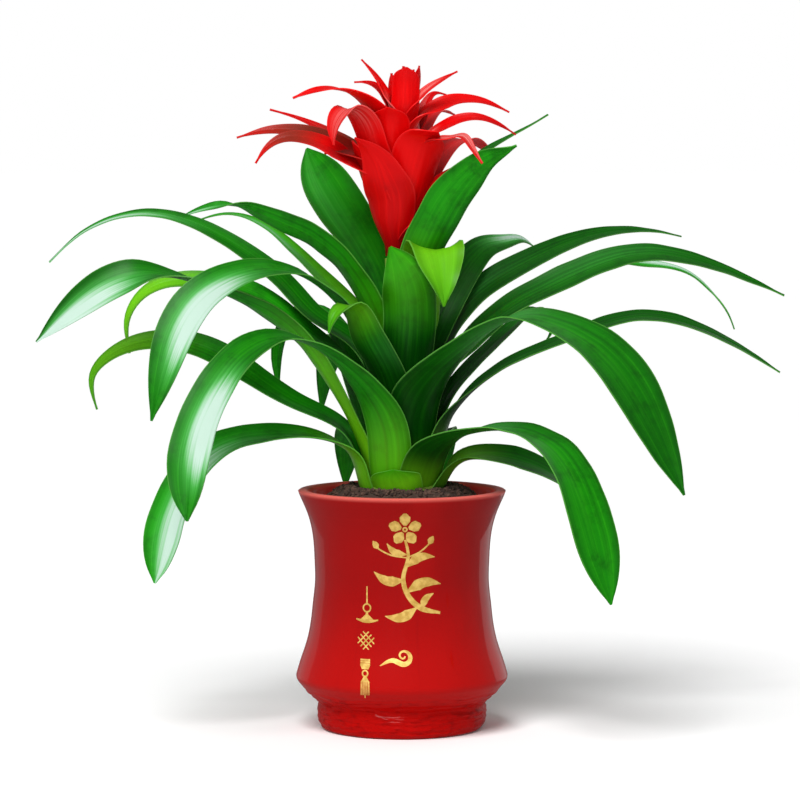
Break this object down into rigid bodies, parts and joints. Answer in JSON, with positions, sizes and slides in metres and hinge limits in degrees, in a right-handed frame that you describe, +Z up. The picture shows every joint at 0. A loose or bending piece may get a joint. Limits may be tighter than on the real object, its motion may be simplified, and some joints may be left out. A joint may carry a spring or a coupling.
{
  "type": "potted guzmania bromeliad",
  "caption": "Bromeliad in flower in a waisted glazed pot: arching strap leaves in a rosette round an upright head of pointed red bracts.",
  "frame": {"origin": "the middle of the pot's foot, on the surface it stands on", "axes": "+Z up along the pot's axis, +X to the right and -Y to the front, as the picture sees it"},
  "size_m": [0.5078, 0.3073, 0.4505],
  "materials": {
    "glaze": "deep red gloss glaze with plain gold ornament",
    "soil": "dark crumbly potting mix of small granules",
    "stem": "pale yellow-green, satin",
    "leaf": "green strap leaf, glossy, with fine lengthwise veins",
    "bract": "scarlet waxy bract, satin, with fine lengthwise veins"
  },
  "bodies": {
    "root": {"pot": "glaze", "soil": "soil", "crown_stem": "stem", "flower_stalk": "stem", "flower_head": "bract", "cut_leaf_base": "leaf", "leaf_low_left": "leaf", "leaf_low_right": "leaf", "leaf_back_low_right": "leaf", "leaf_back_low_left": "leaf", "leaf_low_front": "leaf", "leaf_hooked_left": "leaf", "leaf_back_low": "leaf", "leaf_arched_left": "leaf", "leaf_long_right": "leaf", "leaf_back_left": "leaf", "leaf_arched_right": "leaf", "leaf_short_right": "leaf", "leaf_drooped_left": "leaf", "leaf_long_left": "leaf", "leaf_back_right": "leaf", "leaf_folded_front": "leaf", "leaf_upper_right": "leaf", "leaf_back_high": "leaf", "leaf_shining_left": "leaf", "leaf_pale_right": "leaf", "leaf_slim_left": "leaf", "leaf_slim_right": "leaf", "leaf_front_upright": "leaf", "leaf_longest_left": "leaf", "leaf_upper_left": "leaf", "leaf_curled_right": "leaf", "leaf_flap_front": "leaf", "leaf_pale_left": "leaf", "leaf_upright_right": "leaf", "leaf_upright_left": "leaf", "leaf_upright_back": "leaf"}
  },
  "joints": []
}
